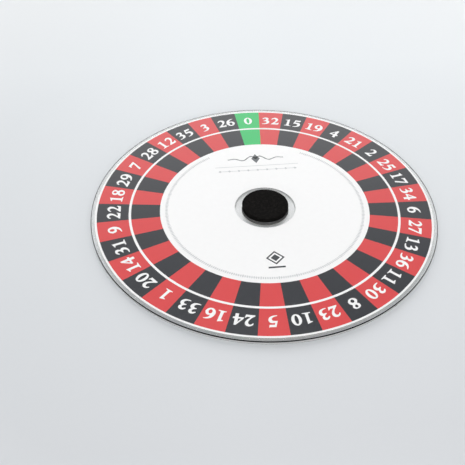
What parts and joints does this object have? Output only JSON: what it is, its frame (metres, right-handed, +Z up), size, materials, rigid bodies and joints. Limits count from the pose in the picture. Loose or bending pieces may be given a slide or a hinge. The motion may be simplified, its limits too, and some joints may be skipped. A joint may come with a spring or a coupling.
{
  "type": "roulette wheel",
  "caption": "Flat disc printed as a roulette wheel with numbered red, black and green pockets, turning on a self-adhesive foam hub button.",
  "frame": {"origin": "on the table, under the middle of the disc and of the foam hub", "axes": "+Z up along the axis that the wheel turns about, +Y towards the green zero pocket"},
  "size_m": [0.12, 0.12, 0.0036],
  "materials": {
    "foam": "matte closed-cell foam, die-cut",
    "adhesive": "tacky translucent film",
    "liner": "siliconed paper",
    "clear_plastic": "clear moulded polycarbonate",
    "mirror_film": "vapour-deposited aluminium",
    "lacquer": "clear cured lacquer",
    "white_ink": "satin screen-printed ink",
    "green_ink": "satin screen-printed ink",
    "red_ink": "satin screen-printed ink",
    "black_ink": "satin screen-printed ink",
    "light_grey_ink": "satin screen-printed ink",
    "mid_grey_ink": "satin screen-printed ink",
    "dark_grey_ink": "satin screen-printed ink"
  },
  "bodies": {
    "hub": {"foam_hub": "foam", "hub_adhesive": "adhesive", "release_liner": "liner"},
    "wheel": {"polycarbonate_disc": "clear_plastic", "reflective_layer": "mirror_film", "protective_lacquer": "lacquer", "white_base_print": "white_ink", "mid_line_print": "white_ink", "pocket_00_green": "green_ink", "pocket_32_red": "red_ink", "pocket_15_black": "black_ink", "pocket_19_red": "red_ink", "pocket_04_black": "black_ink", "pocket_21_red": "red_ink", "pocket_02_black": "black_ink", "pocket_25_red": "red_ink", "pocket_17_black": "black_ink", "pocket_34_red": "red_ink", "pocket_06_black": "black_ink", "pocket_27_red": "red_ink", "pocket_13_black": "black_ink", "pocket_36_red": "red_ink", "pocket_11_black": "black_ink", "pocket_30_red": "red_ink", "pocket_08_black": "black_ink", "pocket_23_red": "red_ink", "pocket_10_black": "black_ink", "pocket_05_red": "red_ink", "pocket_24_black": "black_ink", "pocket_16_red": "red_ink", "pocket_33_black": "black_ink", "pocket_01_red": "red_ink", "pocket_20_black": "black_ink", "pocket_14_red": "red_ink", "pocket_31_black": "black_ink", "pocket_09_red": "red_ink", "pocket_22_black": "black_ink", "pocket_18_red": "red_ink", "pocket_29_black": "black_ink", "pocket_07_red": "red_ink", "pocket_28_black": "black_ink", "pocket_12_red": "red_ink", "pocket_35_black": "black_ink", "pocket_03_red": "red_ink", "pocket_26_black": "black_ink", "tick_ring_print": "light_grey_ink", "flourish_print": "mid_grey_ink", "rule_print": "light_grey_ink", "beaded_line_print": "light_grey_ink", "motif_frame_print": "dark_grey_ink", "motif_core_print": "dark_grey_ink", "motif_bar_print": "dark_grey_ink"}
  },
  "joints": [
    {"name": "wheel_spin", "type": "hinge", "parent": "hub", "child": "wheel", "pos_m": [0, 0, 0.00125], "axis": [0, 0, 1], "continuous": true}
  ]
}
